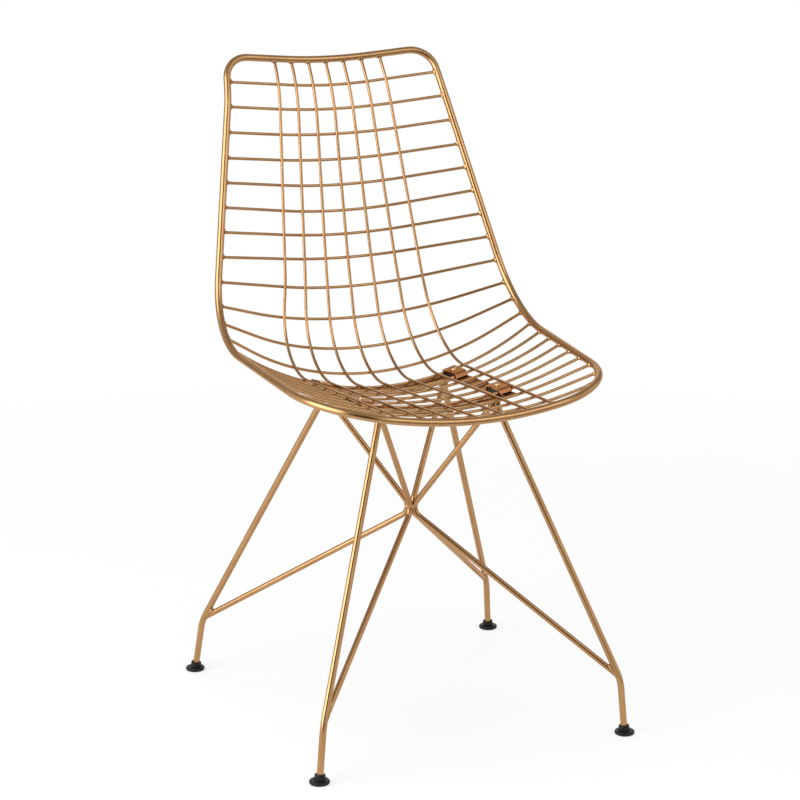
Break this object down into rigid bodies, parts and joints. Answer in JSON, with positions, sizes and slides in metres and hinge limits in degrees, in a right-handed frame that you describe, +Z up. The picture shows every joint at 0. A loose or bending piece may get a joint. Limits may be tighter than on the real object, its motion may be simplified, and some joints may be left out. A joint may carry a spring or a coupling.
{
  "type": "wire side chair",
  "caption": "Side chair with a bucket seat of welded copper-coloured wire in one bent rim, on a base of slanted rod legs and V-shaped braces with black foot caps.",
  "frame": {"origin": "on the floor, under the middle of the chair's overall width and depth", "axes": "+Z up, -Y the way the sitter faces, +X to the sitter's left"},
  "size_m": [0.474, 0.5248, 0.8418],
  "materials": {
    "copper_paint": "satin copper-gold lacquer",
    "clip_paint": "satin copper lacquer, slightly redder",
    "screw_steel": "bright pan head, gold-coloured plating",
    "pad_rubber": "matt black",
    "glide_plastic": "satin black"
  },
  "bodies": {
    "root": {"clip_screws": "screw_steel", "cross_wire_01": "copper_paint", "cross_wire_02": "copper_paint", "cross_wire_03": "copper_paint", "cross_wire_04": "copper_paint", "cross_wire_05": "copper_paint", "cross_wire_06": "copper_paint", "cross_wire_07": "copper_paint", "cross_wire_08": "copper_paint", "cross_wire_09": "copper_paint", "cross_wire_10": "copper_paint", "cross_wire_11": "copper_paint", "cross_wire_12": "copper_paint", "cross_wire_13": "copper_paint", "cross_wire_14": "copper_paint", "cross_wire_15": "copper_paint", "cross_wire_16": "copper_paint", "cross_wire_17": "copper_paint", "cross_wire_18": "copper_paint", "cross_wire_19": "copper_paint", "cross_wire_20": "copper_paint", "cross_wire_21": "copper_paint", "front_cross_strip": "copper_paint", "front_left_brace": "copper_paint", "front_left_clip": "clip_paint", "front_left_glide": "glide_plastic", "front_left_leg": "copper_paint", "front_left_pad": "pad_rubber", "front_right_brace": "copper_paint", "front_right_clip": "clip_paint", "front_right_glide": "glide_plastic", "front_right_leg": "copper_paint", "front_right_pad": "pad_rubber", "left_side_strip": "copper_paint", "long_wire_1": "copper_paint", "long_wire_2": "copper_paint", "long_wire_3": "copper_paint", "long_wire_4": "copper_paint", "long_wire_5": "copper_paint", "long_wire_6": "copper_paint", "long_wire_7": "copper_paint", "rear_cross_strip": "copper_paint", "rear_left_brace": "copper_paint", "rear_left_clip": "clip_paint", "rear_left_glide": "glide_plastic", "rear_left_leg": "copper_paint", "rear_left_pad": "pad_rubber", "rear_right_brace": "copper_paint", "rear_right_clip": "clip_paint", "rear_right_glide": "glide_plastic", "rear_right_leg": "copper_paint", "rear_right_pad": "pad_rubber", "right_side_strip": "copper_paint", "rim": "copper_paint"}
  },
  "joints": []
}
